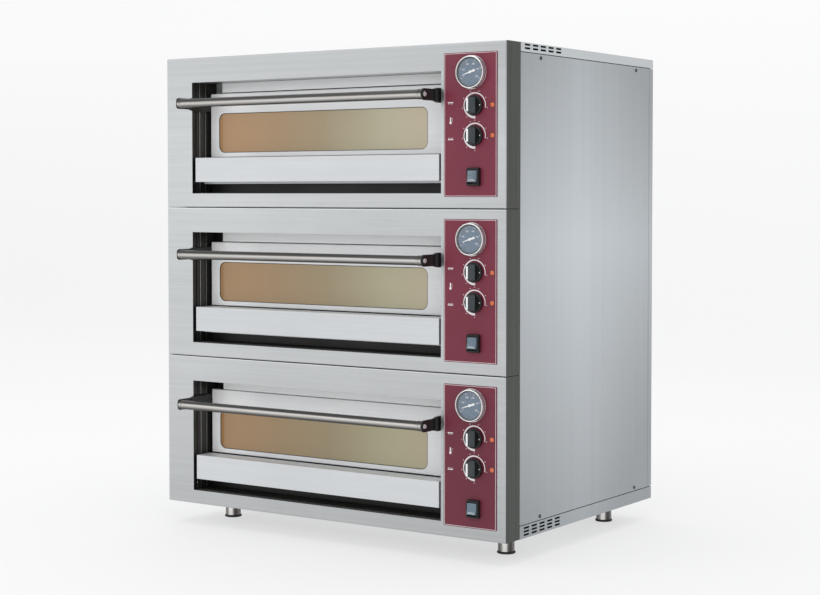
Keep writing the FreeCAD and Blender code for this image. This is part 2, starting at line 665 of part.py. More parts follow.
def make_back_panel():
    """Rear cover with edge flanges that lap onto both sides, holed for the flues and the cable."""
    y0 = back_y - back_flange
    sheet_back = box(-half_width, half_width, back_y - skin, back_y, panel_low, panel_high)
    flanges = [box(-half_width, -half_width + skin, y0, back_y - skin, panel_low, panel_high),
               box(half_width - skin, half_width, y0, back_y - skin, panel_low, panel_high)]
    x = (chamber_left + chamber_right) / 2
    holes = [rod_back(x, back_y - 5, back_y + 5, deck_floor(deck) + flue_up, flue_radius)
             for deck in range(len(deck_names))]
    holes.append(rod_back(gland_x, back_y - 5, back_y + 5, gland_z, gland_thread))
    slots = []
    for deck in range(len(deck_names)):
        for row in range(louvre_rows):
            z = deck_floor(deck) + louvre_up + row * louvre_pitch
            slots.append(box(louvre_left, louvre_right, back_y - 5, back_y + 5,
                             z - louvre_height / 2, z + louvre_height / 2))
    return fuse([sheet_back] + flanges).cut(holes + slots)


def make_gland():
    """Cable gland: threaded tail, hexagonal body and domed clamping nut, bored through."""
    points = [Vector(gland_x + gland_hexagon * math.cos(math.radians(60 * i)), back_y,
                     gland_z + gland_hexagon * math.sin(math.radians(60 * i))) for i in range(7)]
    end = back_y + gland_reach
    hexagon = Part.Face(Part.makePolygon(points)).extrude(Vector(0, gland_flange, 0))
    tail = rod_back(gland_x, back_y - gland_tail, back_y, gland_z, gland_thread)
    nut = rod_back(gland_x, back_y + gland_flange, end, gland_z, gland_nut)
    nut = nut.makeFillet(4.0, [e for e in nut.Edges if all(near(v.Y, end) for v in e.Vertexes)][:1])
    bore = rod_back(gland_x, back_y - gland_tail - 1, end + 4, gland_z, gland_bore)
    return fuse([tail, hexagon, nut]).cut(bore)


def make_screws():
    """Pan-head screws in both side panels."""
    solids = []
    for side in (-1, 1):
        x = side * half_width
        for back in screw_back_positions:
            for height in screw_heights:
                y, z = front_y + back, body_low + height
                head = rod(x, y, z, screw_head_radius, screw_head_reach, (side, 0, 0))
                top = x + side * screw_head_reach
                rims = [e for e in head.Edges if all(near(v.X, top) for v in e.Vertexes)]
                head = head.makeFillet(1.2, rims[:1])
                solids.append(fuse([head, rod(x, y, z, screw_shank_radius, screw_shank, (-side, 0, 0))]))
    return solids


# ---------------------------------------------------------------- feet
def make_foot_mounts():
    """Two cross rails under the tray, each with two foot sleeves welded on."""
    solids = []
    for back in (foot_front, foot_rear):
        y = front_y + back
        rail_end = half_width - rail_inset
        parts = [box(-rail_end, rail_end, y - rail_width / 2, y + rail_width / 2,
                     body_low - rail_height, body_low)]
        for side in (-1, 1):
            x = side * (half_width - foot_inset)
            parts.append(rod_up(x, y, pad_height + 0.3, body_low - rail_height, sleeve_radius))
        bores = [rod_up(side * (half_width - foot_inset), y, 0, body_low - 1, stem_radius + running)
                 for side in (-1, 1)]
        solids.append(fuse(parts).cut(bores))
    return solids


def make_foot(x, back):
    """Rubber-soled levelling foot on a threaded stem, fully screwed in."""
    y = front_y + back
    pad = rod_up(x, y, 0, pad_height, pad_radius)
    rims = [e for e in pad.Edges if e.Closed]
    pad = pad.makeFillet(1.5, rims)
    return fuse([pad, rod_up(x, y, pad_height - 1, body_low - 2, stem_radius)])


# ---------------------------------------------------------------- write every node
def group(maker):
    """One maker's solids for all the decks."""
    solids = []
    for deck in range(len(deck_names)):
        made = maker(deck_floor(deck))
        solids += made if isinstance(made, list) else [made]
    return solids


def write_decks():
    for deck, name in enumerate(deck_names):
        z0 = deck_floor(deck)
        save(f"{name}_fascia", [make_fascia(z0)])
        save(f"{name}_control_plate", [make_control_plate(z0)])
        save(f"{name}_chamber", make_chamber(z0))
        save(f"{name}_door_panel", [make_door_panel(z0)])
        save(f"{name}_door_glass", make_door_glass(z0))
        save(f"{name}_door_liner", [make_door_liner(z0)])
        save(f"{name}_handle_bar", make_handle_bar(z0))
        save(f"{name}_handle_arms", make_handle_arms(z0))
        for knob, height in knob_heights.items():
            save(f"{name}_{knob}_knob", [make_knob(z0, height)])
        save(f"{name}_rocker", [make_rocker(z0)])
        save(f"{name}_needle", [make_needle(z0)])


def write_groups():
    save("thermometer_cases", group(make_gauge_case))
    save("thermometer_lenses", group(make_gauge_lens))
    save("sill_panels", group(make_sill))
    save("door_surrounds", group(make_surround))
    save("indicator_lamps", group(lambda z0: [make_lamp(z0, h) for h in knob_heights.values()]))
    save("switch_frames", group(make_switch_frame))
    save("baking_stones", group(make_stones))
    save("heating_elements", group(make_elements))
    save("chamber_lamps", group(make_chamber_lamp))
    save("thermostats", group(lambda z0: [make_thermostat(z0, h) for h in knob_heights.values()]))
    save("steam_flues", group(make_flue))
    save("insulation", group(make_insulation))


def write_cabinet():
    save("roof_cover", [make_roof()])
    save("base_tray", [make_tray()])
    save("left_side_panel", [make_side_panel(-1)])
    save("right_side_panel", [make_side_panel(1)])
    save("back_panel", [make_back_panel()])
    save("cable_gland", [make_gland()])
    save("panel_screws", make_screws())
    save("foot_mounts", make_foot_mounts())
    for name, (x, back) in foot_places.items():
        save(f"{name}_foot", [make_foot(x, back)])


write_decks()
write_groups()
write_cabinet()
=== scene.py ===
"""Looks of the three-deck electric oven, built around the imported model. Metres, +Z up, front towards -Y."""
import json
import math

import bmesh
import bpy
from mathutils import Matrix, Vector


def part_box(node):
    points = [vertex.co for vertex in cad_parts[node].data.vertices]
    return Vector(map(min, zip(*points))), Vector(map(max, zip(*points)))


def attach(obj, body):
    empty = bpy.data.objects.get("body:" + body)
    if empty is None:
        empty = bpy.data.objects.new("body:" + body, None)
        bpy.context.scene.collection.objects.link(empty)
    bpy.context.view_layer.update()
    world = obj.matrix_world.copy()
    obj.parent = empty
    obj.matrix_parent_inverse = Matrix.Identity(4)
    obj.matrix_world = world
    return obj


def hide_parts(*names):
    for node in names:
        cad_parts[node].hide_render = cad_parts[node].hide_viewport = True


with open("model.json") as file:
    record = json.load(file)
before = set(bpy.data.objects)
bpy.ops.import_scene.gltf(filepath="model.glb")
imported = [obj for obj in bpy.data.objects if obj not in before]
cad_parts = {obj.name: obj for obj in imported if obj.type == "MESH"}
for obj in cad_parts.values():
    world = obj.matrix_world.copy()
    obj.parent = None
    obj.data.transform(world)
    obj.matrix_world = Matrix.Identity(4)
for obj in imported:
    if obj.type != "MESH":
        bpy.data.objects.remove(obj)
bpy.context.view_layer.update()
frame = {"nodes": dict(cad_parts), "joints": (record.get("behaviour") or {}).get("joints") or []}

DECKS = ["lower", "middle", "upper"]
KNOBS = ["top_heat", "base_heat"]
MM = 0.001
PROUD = 0.0001              # how far printing stands off its face
KNOB_RADIUS = 20.5 * MM
DIAL_START, DIAL_SWEEP = -120, 240      # degrees, clockwise from the top
DOOR_BOTTOM = 112.5 * MM                # heights above the deck's floor
WINDOW_BOTTOM, WINDOW_TOP = 123 * MM, 212 * MM
WINDOW_CORNER = 16 * MM
GLASS_LAP = 6 * MM                      # pane hidden behind the door skin, each side
NEEDLE_ANGLE = 198                      # degrees, anticlockwise from the right
SCENE = bpy.context.scene
NODES = frame["nodes"]
JOINTS = {joint["name"]: joint for joint in frame["joints"]}


def joint_at(name):
    """The place of a joint's axis."""
    return Vector(JOINTS[name]["pos_m"])


# ------------------------------------------------------------------ materials
class Shader:
    """A Principled material, with short calls for its texture nodes."""

    def __init__(self, name, colour, roughness, metallic=0.0, **settings):
        self.material = bpy.data.materials.new(name)
        self.material.use_nodes = True
        self.tree = self.material.node_tree
        self.surface = self.tree.nodes["Principled BSDF"]
        self.set("Base Color", (*colour, 1.0))
        self.set("Roughness", roughness)
        self.set("Metallic", metallic)
        for key, value in settings.items():
            self.set(key.replace("_", " "), value)

    def set(self, socket, value):
        self.surface.inputs[socket].default_value = value

    def node(self, kind, **inputs):
        made = self.tree.nodes.new(kind)
        for key, value in inputs.items():
            made.inputs[key.replace("_", " ")].default_value = value
        return made

    def link(self, source, target):
        self.tree.links.new(source, target)

    def place(self, scale):
        """The piece's own coordinates, stretched by a scale along each axis."""
        place = self.node("ShaderNodeTexCoord").outputs["Object"]
        mapping = self.node("ShaderNodeMapping")
        mapping.inputs["Scale"].default_value = scale
        self.link(place, mapping.inputs["Vector"])
        return mapping.outputs["Vector"]

    def along(self, axis):
        """The distance along one axis, in metres."""
        split = self.node("ShaderNodeSeparateXYZ")
        self.link(self.place((1.0, 1.0, 1.0)), split.inputs[0])
        return split.outputs[axis]

    def painted_shade_low_down(self, colour, tint, full=0.95):
        """Painted shade: a colour that takes a darker tint towards the floor, and none from a height up."""
        upright = self.spread(self.along("Z"), 0.0, 1.0, 0.15, full)
        return self.mix(1.0, colour, self.mix(upright, tint, (1.0, 1.0, 1.0)), "MULTIPLY")

    def noise(self, scale, detail=3.0, roughness=0.55):
        """Noise from 0 to 1, with that many features to a metre along each axis."""
        texture = self.node("ShaderNodeTexNoise", Scale=1.0, Detail=detail, Roughness=roughness)
        self.link(self.place(scale), texture.inputs["Vector"])
        return texture.outputs["Fac"]

    def spread(self, value, low, high, start=0.3, end=0.7):
        """A value from start to end, spread over low to high."""
        ranged = self.node("ShaderNodeMapRange")
        for key, number in zip(("From Min", "From Max", "To Min", "To Max"), (start, end, low, high)):
            ranged.inputs[key].default_value = number
        self.link(value, ranged.inputs["Value"])
        return ranged.outputs["Result"]

    def maths(self, operation, first, second):
        made = self.node("ShaderNodeMath")
        made.operation = operation
        for socket, value in zip(made.inputs, (first, second)):
            if isinstance(value, (int, float)):
                socket.default_value = value
            else:
                self.link(value, socket)
        return made.outputs["Value"]

    def ramp(self, value, stops):
        """A colour ramp over a value, from (position, colour) stops."""
        ramp = self.node("ShaderNodeValToRGB")
        elements = ramp.color_ramp.elements
        while len(elements) < len(stops):
            elements.new(0.5)
        for element, (position, colour) in zip(elements, stops):
            element.position = position
            element.color = (*colour, 1.0)
        self.link(value, ramp.inputs["Fac"])
        return ramp.outputs["Color"]

    def mix(self, factor, first, second, blend="MIX"):
        """Two colours mixed by a factor."""
        made = self.node("ShaderNodeMix")
        made.data_type = "RGBA"
        made.blend_type = blend
        for index, value in ((0, factor), (6, first), (7, second)):
            socket = made.inputs[index]
            if isinstance(value, bpy.types.NodeSocket):
                self.link(value, socket)
            else:
                socket.default_value = value if index == 0 else (*value, 1.0)
        return made.outputs[2]

    def bump(self, height, strength, distance):
        bump = self.node("ShaderNodeBump", Strength=strength, Distance=distance)
        self.link(height, bump.inputs["Height"])
        self.link(bump.outputs["Normal"], self.surface.inputs["Normal"])


ALONG = {"x": (7.0, 1100.0, 1100.0), "y": (1100.0, 7.0, 1100.0), "z": (1100.0, 1100.0, 7.0)}


def brushed_steel(name, colour, roughness, along, grain=0.10, depth=0.08, shade=None, metallic=1.0):
    """Sheet steel ground in one direction: fine streaks, slow changes of tone and faint smears."""
    shader = Shader(name, colour, roughness, metallic=metallic)
    streaks = shader.noise(ALONG[along], detail=4.0, roughness=0.7)
    bands = shader.noise(tuple(size * 0.12 for size in ALONG[along]), detail=2.0)
    clouds = shader.noise((2.6, 2.6, 2.6), detail=4.0)
    tone = shader.maths("ADD", shader.spread(streaks, -grain / 2, grain / 2),
                        shader.spread(bands, -grain / 3, grain / 3))
    tone = shader.maths("ADD", tone, shader.spread(clouds, 0.44, 0.56))
    # Painted light and shade from the shade function, when given.
    if shade:
        tone = shader.maths("ADD", tone, shade(shader))
    light = tuple(min(1.0, c * 1.30) for c in colour)
    dark = tuple(c * 0.70 for c in colour)
    shader.link(shader.mix(tone, dark, light), shader.surface.inputs["Base Color"])
    rough = shader.maths("ADD", shader.spread(streaks, roughness - 0.07, roughness + 0.07),
                         shader.spread(clouds, -0.05, 0.05))
    shader.link(rough, shader.surface.inputs["Roughness"])
    shader.bump(streaks, depth, 0.0003)
    return shader.material


def front_shade(shader):
    """Painted shade: a little darker towards the floor, the control side and the top edge."""
    upward = shader.spread(shader.along("Z"), -0.30, 0.0, 0.03, 0.45)
    across = shader.spread(shader.along("X"), 0.05, -0.12, -0.45, 0.45)
    top = shader.spread(shader.along("Z"), 0.0, -0.34, 0.86, 1.04)
    return shader.maths("ADD", shader.maths("ADD", upward, across), top)


def door_shade(shader):
    """Painted light: lighter on the strip left of the window."""
    return shader.spread(shader.along("X"), 0.50, 0.0, -0.32, -0.22)


def side_shade(shader):
    """Painted light and shade: lightest in a soft upright patch at mid height, darker to the floor and the
    front.
    """
    rise = shader.spread(shader.along("Z"), -0.44, 0.18, 0.10, 0.62)
    fall = shader.spread(shader.along("Z"), 0.0, -0.52, 0.66, 1.02)
    back = shader.spread(shader.along("Y"), -0.12, 0.14, -0.27, -0.02)
    rear = shader.spread(shader.along("Y"), 0.0, -0.36, 0.02, 0.33)
    return shader.maths("ADD", shader.maths("ADD", rise, fall), shader.maths("ADD", back, rear))


def steel_with_painted_reflections(name, axis, stops, roughness, along, drift=0.0):
    """Polished round steel with painted reflection bands round it, from (normal along an axis, grey) stops.

    The painted reflection bands turn up by a drift on the lower decks.
    """
    shader = Shader(name, (0.5, 0.5, 0.5), roughness, metallic=1.0)
    split = shader.node("ShaderNodeSeparateXYZ")
    shader.link(shader.node("ShaderNodeTexCoord").outputs["Normal"], split.inputs[0])
    streaks = shader.noise(ALONG[along], detail=4.0, roughness=0.7)
    turn = shader.maths("ADD", shader.spread(split.outputs[axis], 0.0, 1.0, -1.0, 1.0),
                        shader.spread(streaks, -0.02, 0.02))
    if drift:
        turn = shader.maths("ADD", turn, shader.spread(shader.along("Z"), -drift, 0.0, 0.28, 0.95))
    tone = shader.ramp(turn, [((place + 1) / 2, colour) for place, colour in stops])
    grain = shader.mix(shader.spread(streaks, 0.0, 1.0), (0.86, 0.86, 0.86), (1.0, 1.0, 1.0))
    shader.link(shader.mix(1.0, tone, grain, "MULTIPLY"), shader.surface.inputs["Base Color"])
    rough = shader.spread(streaks, roughness - 0.05, roughness + 0.05)
    shader.link(rough, shader.surface.inputs["Roughness"])
    shader.bump(streaks, 0.05, 0.0002)
    return shader.material


def speckled(name, colour, roughness, size, contrast=0.2, depth=0.15, distance=0.0002,
             low_shade_tint=None, **settings):
    """A moulded, painted or cast surface: fine grain, with tone and gloss that change a little."""
    shader = Shader(name, colour, roughness, **settings)
    grain = shader.noise((size, size, size), detail=4.0)
    clouds = shader.noise((14.0, 14.0, 14.0), detail=3.0)
    light = tuple(min(1.0, c * (1 + contrast)) for c in colour)
    dark = tuple(c * (1 - contrast) for c in colour)
    mixed = shader.maths("ADD", shader.spread(grain, 0.25, 0.75), shader.spread(clouds, -0.25, 0.25))
    tone = shader.mix(mixed, dark, light)
    # Painted shade: when given, the tone takes a darker tint towards the floor.
    if low_shade_tint:
        tone = shader.painted_shade_low_down(tone, low_shade_tint, 0.60)
    shader.link(tone, shader.surface.inputs["Base Color"])
    rough = shader.spread(clouds, max(0.02, roughness - 0.06), roughness + 0.06)
    shader.link(rough, shader.surface.inputs["Roughness"])
    shader.bump(grain, depth, distance)
    return shader.material


def window_glass():
    """Bronze door glass with a painted reflection, warmer on the left and greener and lighter on the right, and
    painted shade towards the floor.
    """
    shader = Shader("window_glass", (0.40, 0.31, 0.20), 0.10, **{"Coat_Weight": 0.6})
    low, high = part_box("upper_door_glass")
    across = shader.spread(shader.along("X"), 0.0, 1.0, low.x, high.x)
    wander = shader.spread(shader.noise((2.2, 1.0, 3.0), detail=2.0), -0.05, 0.05)
    # Painted reflection across the pane.
    colour = shader.ramp(shader.maths("ADD", across, wander), [
        (0.00, (0.56, 0.315, 0.150)), (0.30, (0.45, 0.300, 0.158)), (0.52, (0.43, 0.332, 0.200)),
        (0.80, (0.55, 0.510, 0.350)), (1.00, (0.64, 0.550, 0.395))])
    shader.link(shader.painted_shade_low_down(colour, (0.76, 0.76, 0.66)), shader.surface.inputs["Base Color"])
    smears = shader.noise((9.0, 9.0, 9.0))
    shader.link(shader.spread(smears, 0.07, 0.15), shader.surface.inputs["Roughness"])
    shader.set("Alpha", 0.95)
    return shader.material


def clear_glass():
    """The thermometer's thin clear pane, with faint dust."""
    shader = Shader("clear_glass", (0.95, 0.97, 1.0), 0.03, **{"Alpha": 0.05, "IOR": 1.2})
    dust = shader.noise((60.0, 60.0, 60.0))
    shader.link(shader.spread(dust, 0.03, 0.09), shader.surface.inputs["Roughness"])
    return shader.material


def glowing_orange():
    """Lit pilot lens: brighter at its crown."""
    shader = Shader("lamp_orange", (0.34, 0.045, 0.016), 0.25, **{"Coat_Weight": 0.4})
    shader.set("Emission Strength", 0.34)
    facing = shader.node("ShaderNodeLayerWeight", Blend=0.35)
    glow = shader.ramp(facing.outputs["Facing"], [(0.0, (0.95, 0.27, 0.10)), (0.40, (0.48, 0.06, 0.02)),
                                                  (0.85, (0.10, 0.01, 0.01))])
    shader.link(glow, shader.surface.inputs["Emission Color"])
    return shader.material


def warm(grey):
    return grey, grey * 0.97, grey * 0.93


# Painted reflections: grey stops round the handle bar and the foot sleeves.
BAR_REFLECTION_STOPS = [(-1.0, warm(0.07)), (-0.875, warm(0.085)), (-0.625, warm(0.24)), (-0.375, warm(0.50)),
             (-0.125, warm(0.76)), (0.06, warm(0.40)), (0.20, warm(0.09)), (0.375, warm(0.08)),
             (0.75, warm(0.085)), (1.0, warm(0.11))]
SLEEVE_REFLECTION_STOPS = [(-1.0, warm(0.24)), (-0.55, warm(0.10)), (-0.05, warm(0.34)), (0.18, warm(0.95)),
                (0.52, warm(0.90)), (0.68, warm(0.16)), (0.90, warm(0.06)), (1.0, warm(0.20))]

M = {
    "fascia": brushed_steel("fascia_steel", (0.60, 0.615, 0.62), 0.36, "x", grain=0.16, shade=front_shade),
    "sill": brushed_steel("sill_steel", (0.655, 0.672, 0.685), 0.40, "x", grain=0.12, metallic=0.35),
    "door": brushed_steel("door_steel", (0.84, 0.86, 0.87), 0.42, "x", grain=0.12, shade=door_shade,
                          metallic=0.12),
    # Painted light: the lintel steel is far lighter than the fascia steel, to light the recessed lintel.
    "lintel": brushed_steel("lintel_steel", (0.93, 0.945, 0.95), 0.42, "x", grain=0.12, metallic=0.15),
    # Painted shade: near-black steel for the fascia's sideways returns.
    "return": brushed_steel("return_steel", (0.078, 0.082, 0.077), 0.42, "z", grain=0.9),
    "panel": brushed_steel("panel_steel", (0.52, 0.55, 0.575), 0.46, "z", grain=0.10, depth=0.05,
                           shade=side_shade),
    "roof": brushed_steel("roof_steel", (0.56, 0.585, 0.60), 0.42, "y", grain=0.10, depth=0.05),
    "handle": steel_with_painted_reflections("handle_steel", "Z", BAR_REFLECTION_STOPS, 0.24, "x", drift=0.12),
    "chamber": brushed_steel("chamber_steel", (0.40, 0.385, 0.36), 0.42, "x", grain=0.2),
    "flue": brushed_steel("flue_steel", (0.52, 0.52, 0.51), 0.34, "y"),
    "element": brushed_steel("element_steel", (0.14, 0.125, 0.12), 0.5, "y", grain=0.3),
    "foot": steel_with_painted_reflections("foot_steel", "X", SLEEVE_REFLECTION_STOPS, 0.18, "z"),
    "chrome": brushed_steel("bezel_chrome", (0.78, 0.77, 0.78), 0.12, "y", grain=0.05, depth=0.02),
    # Painted reflection: the neck's dark pink tone stands for the burgundy plate reflected in it.
    "neck": brushed_steel("neck_steel", (0.36, 0.24, 0.27), 0.25, "y", grain=0.1),
    "screw": brushed_steel("screw_steel", (0.065, 0.075, 0.095), 0.32, "x", grain=0.3),
    # The control plate carries painted shade towards the floor.
    "plate": speckled("control_plate", (0.188, 0.019, 0.043), 0.42, 1500.0, 0.10, 0.05,
                      low_shade_tint=(0.74, 0.74, 0.74), Specular_IOR_Level=0.42),
    "black": speckled("black_plastic", (0.009, 0.009, 0.009), 0.36, 2600.0, 0.3, 0.2, Specular_IOR_Level=0.4),
    "grip": speckled("grip_plastic", (0.052, 0.066, 0.070), 0.42, 2600.0, 0.3, 0.25),
    # Dark surround: the jambs' dark paint, and painted shade on the lower decks' chamber corners.
    "surround": speckled("dark_surround", (0.020, 0.020, 0.018), 0.42, 900.0, 0.3, 0.1),
    # Painted highlight: lighter steel for the sideways faces of the jamb ribs.
    "rib": brushed_steel("rib_steel", (0.55, 0.54, 0.50), 0.45, "z", grain=0.9),
    "stone": speckled("refractory", (0.55, 0.47, 0.37), 0.9, 380.0, 0.22, 0.6, 0.001),
    "wool": speckled("mineral_wool", (0.52, 0.46, 0.28), 0.95, 700.0, 0.35, 0.8, 0.002),
    "rubber": speckled("foot_rubber", (0.014, 0.014, 0.015), 0.6, 1800.0, 0.3, 0.3),
    "mount": speckled("mount_steel", (0.05, 0.05, 0.053), 0.45, 1200.0, 0.2, 0.1),
    "thermostat": speckled("thermostat_body", (0.42, 0.39, 0.32), 0.6, 1200.0, 0.15, 0.2),
    "rocker": speckled("rocker_grey", (0.105, 0.155, 0.200), 0.22, 620.0, 0.35, 0.2, Coat_Weight=0.4),
    "dial": speckled("dial_face", (0.112, 0.172, 0.240), 0.50, 500.0, 0.10, 0.03, Specular_IOR_Level=0.3),
    "print": speckled("pale_print", (0.90, 0.85, 0.87), 0.5, 2500.0, 0.06, 0.05),
    "needle": speckled("needle_white", (0.88, 0.89, 0.90), 0.35, 2500.0, 0.04, 0.05),
    "frosted": speckled("lamp_glass", (0.85, 0.82, 0.70), 0.3, 500.0, 0.05, 0.2, Coat_Weight=0.5),
    "gasket": speckled("gasket", (0.04, 0.032, 0.025), 0.6, 1500.0, 0.2, 0.2),
    # Painted light: a light copy of the chamber's front frame steel, for the upper deck's corners.
    "frame": brushed_steel("chamber_front", (0.62, 0.64, 0.62), 0.45, "x", grain=0.15, metallic=0.1),
    "window": window_glass(),
    "clear": clear_glass(),
    "orange": glowing_orange(),
}


def paint(node, material):
    """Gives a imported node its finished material."""
    mesh = NODES[node].data
    mesh.materials.clear()
    mesh.materials.append(M[material])


def paint_faces(node, materials, choose):
    """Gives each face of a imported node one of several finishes, by its centre and normal."""
    mesh = NODES[node].data
    mesh.materials.clear()
    for material in materials:
        mesh.materials.append(M[material])
    for face in mesh.polygons:
        face.material_index = materials.index(choose(face.center, face.normal))


# ------------------------------------------------------------------ mesh helpers
def add_piece(name, bm, material, body, smooth_angle=35.0):
    """A piece from a bmesh, on its body and with its slot."""
    mesh = bpy.data.meshes.new(name)
    bmesh.ops.recalc_face_normals(bm, faces=bm.faces)
    bm.to_mesh(mesh)
    bm.free()
    mesh.shade_smooth()
    mesh.set_sharp_from_angle(angle=math.radians(smooth_angle))
    piece = bpy.data.objects.new(name, mesh)
    SCENE.collection.objects.link(piece)
    mesh.materials.append(M[material])
    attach(piece, body)
    return piece


def block(bm, low, high, bevel=0.0, segments=3):
    """A block between two corners, its edges rounded."""
    low, high = Vector(low), Vector(high)
    made = bmesh.ops.create_cube(bm, size=1.0)["verts"]
    for vertex in made:
        vertex.co = Vector((c + 0.5) * s + l for c, s, l in zip(vertex.co, high - low, low))
    if bevel:
        edges = {edge for vertex in made for edge in vertex.link_edges}
        bmesh.ops.bevel(bm, geom=list(edges), offset=bevel, segments=segments, profile=0.5, affect="EDGES")


def lathe(bm, centre, profile, axis="y", steps=64):
    """A closed surface of revolution through (radius, distance along the axis) points."""
    rings = []
    for radius, along in profile:
        ring = []
        for index in range(steps if radius > 1e-7 else 1):
            angle = math.tau * index / steps
            a, b = radius * math.cos(angle), radius * math.sin(angle)
            spot = {"x": (along, a, b), "y": (a, along, b), "z": (a, b, along)}[axis]
            ring.append(bm.verts.new(Vector(spot) + Vector(centre)))
        rings.append(ring)
    for first, second in zip(rings, rings[1:]):
        for index in range(steps):
            after = (index + 1) % steps
            corners = [first[index % len(first)], first[after % len(first)],
                       second[after % len(second)], second[index % len(second)]]
            unique = list(dict.fromkeys(corners))
            if len(unique) > 2:
                bm.faces.new(unique)


def bridge(bm, rings, closed=True):
    """Faces between each ring of points and the next, joined right round when closed."""
    for first, second in zip(rings, rings[1:]):
        count = len(first)
        for index in range(count if closed else count - 1):
            after = (index + 1) % count
            bm.faces.new([first[index], first[after], second[after], second[index]])


def rounded_outline(half_width, half_height, corner, steps):
    """Points round a rectangle with rounded corners, about its middle."""
    points = []
    for turn, right, up in ((0, 1, 1), (90, -1, 1), (180, -1, -1), (270, 1, -1)):
        for index in range(steps + 1):
            angle = math.radians(turn + 90 * index / steps)
            points.append((right * (half_width - corner) + corner * math.cos(angle),
                           up * (half_height - corner) + corner * math.sin(angle)))
    return points


def band(bm, centre, inner, outer, start, end, y0, y1, steps=72, taper=0.0):
    """Part of a flat ring that faces the front, between angles clockwise from the top.

    The inner radius grows by the taper from start to end.
    """
    rows = []
    for index in range(steps + 1):
        share = index / steps
        angle = math.radians(start + (end - start) * share)
        near = inner + taper * share
        row = []
        for radius, y in ((near, y0), (outer, y0), (outer, y1), (near, y1)):
            row.append(bm.verts.new((centre[0] + radius * math.sin(angle), y,
                                     centre[2] + radius * math.cos(angle))))
        rows.append(row)
    bridge(bm, rows)
    bm.faces.new(rows[0])
    bm.faces.new(list(reversed(rows[-1])))


def prism(bm, outline, y0, y1):
    """A flat plate from an (x, z) outline."""
    front = [bm.verts.new((x, y0, z)) for x, z in outline]
    back = [bm.verts.new((x, y1, z)) for x, z in outline]
    bm.faces.new(front)
    bm.faces.new(list(reversed(back)))
    bridge(bm, [front, back])


def printed(bm, x, z, width, height, y):
    """A printed dash."""
    block(bm, (x - width / 2, y - PROUD, z - height / 2), (x + width / 2, y + PROUD, z + height / 2))


def lettering(name, text, x, y, z, size, body):
    """Generic figures on a dial, as a thin mesh."""
    curve = bpy.data.curves.new(name + ".text", "FONT")
    curve.body = text
    curve.size = size
    curve.align_x = "CENTER"
    curve.align_y = "CENTER"
    curve.extrude = 0.00008
    curve.resolution_u = 3
    source = bpy.data.objects.new(name + ".text", curve)
    SCENE.collection.objects.link(source)
    bpy.context.view_layer.update()
    mesh = bpy.data.meshes.new_from_object(source)
    bpy.data.objects.remove(source)
    bm = bmesh.new()
    bm.from_mesh(mesh)
    bpy.data.meshes.remove(mesh)
    for vertex in bm.verts:
        vertex.co = Vector((x + vertex.co.x, y - vertex.co.z, z + vertex.co.y))
    return add_piece(name, bm, "print", body)


# ------------------------------------------------------------------ control plate
def make_prints(deck):
    """Pale border, scale rings, ticks and the three plain symbols of a control plate."""
    low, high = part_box(f"{deck}_control_plate")
    bm = bmesh.new()
    line, inset = 0.7 * MM, 1.6 * MM
    left, right, bottom, top = low.x + inset, high.x - inset, low.z + inset, high.z - inset
    for x0, x1, z0, z1 in ((left, right, bottom, bottom + line), (left, right, top - line, top),
                           (left, left + line, bottom + line, top - line),
                           (right - line, right, bottom + line, top - line)):
        block(bm, (x0, low.y - PROUD, z0), (x1, low.y + PROUD, z1))
    for knob in KNOBS:
        centre = joint_at(f"{deck}_{knob}_knob_turn")
        band(bm, centre, 21.4 * MM, 26.2 * MM, 176, 462, low.y - 1.5 * PROUD, low.y + PROUD, taper=3.4 * MM)
        dot, out = 1.5 * MM, 29.8 * MM
        for index in range(8):
            angle = math.radians(180 + index * 40)
            printed(bm, centre.x + out * math.sin(angle), centre.z + out * math.cos(angle), dot, dot, low.y)
    symbol_x = low.x + 16 * MM
    upper, lower = (joint_at(f"{deck}_{knob}_knob_turn").z for knob in KNOBS)
    middle = (upper + lower) / 2
    for z, side in ((upper + 7 * MM, -1), (lower - 7 * MM, 1)):
        printed(bm, symbol_x, z, 13 * MM, 1.6 * MM, low.y)
        for index in range(4):
            printed(bm, symbol_x + (index - 1.5) * 3.2 * MM, z + side * 2.6 * MM, 0.9 * MM, 2.2 * MM, low.y)
    printed(bm, symbol_x, middle + 3 * MM, 2.6 * MM, 9 * MM, low.y)
    band(bm, (symbol_x, 0, middle - 3.5 * MM), 0.1 * MM, 2.7 * MM, 0, 360, low.y - 1.5 * PROUD,
         low.y + PROUD, 24)
    for index in range(3):
        printed(bm, symbol_x + 4 * MM, middle + (5.5 - index * 3) * MM, 2 * MM, 0.7 * MM, low.y)
    add_piece(f"{deck}_plate_print", bm, "print", "cabinet")


